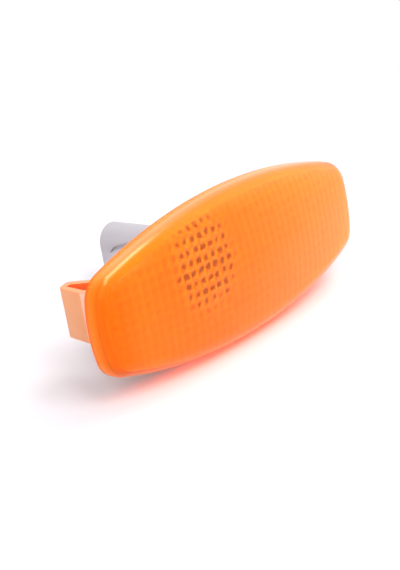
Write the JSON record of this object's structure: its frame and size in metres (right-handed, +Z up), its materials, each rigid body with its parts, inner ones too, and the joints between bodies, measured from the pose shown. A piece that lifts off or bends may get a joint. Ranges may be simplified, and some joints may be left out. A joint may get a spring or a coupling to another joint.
{
  "type": "side repeater lamp",
  "caption": "Amber side repeater lamp: a domed barrel-shaped lens with pillow optics on a clip-in housing, with a wedge bulb in a grey quarter-turn holder behind.",
  "frame": {"origin": "centre of the panel cut-out on the panel's outer face, which is the plane of the gasket's back face", "axes": "+X along the lamp towards the hook, with the spring clip at -X; +Y through the panel, from the lens to the bulb holder; +Z up across the lamp"},
  "size_m": [0.084, 0.0433, 0.0334],
  "materials": {
    "amber_lens": "clear amber, polished outside",
    "housing_plastic": "moulded, satin",
    "gasket_rubber": "soft foam, matt",
    "holder_plastic": "moulded, satin",
    "seal_rubber": "matt",
    "terminal_brass": "stamped strip, tinned where it meets the bulb",
    "bulb_glass": "clear",
    "tungsten": "wound wire",
    "lead_wire": "drawn wire"
  },
  "bodies": {
    "root": {"lens": "amber_lens", "housing": "housing_plastic", "gasket": "gasket_rubber", "bulb_holder": "holder_plastic", "holder_seal": "seal_rubber", "terminal_upper": "terminal_brass", "terminal_lower": "terminal_brass", "bulb_glass": "bulb_glass", "filament": "tungsten", "lead_wire_upper": "lead_wire", "lead_wire_lower": "lead_wire"}
  },
  "joints": []
}
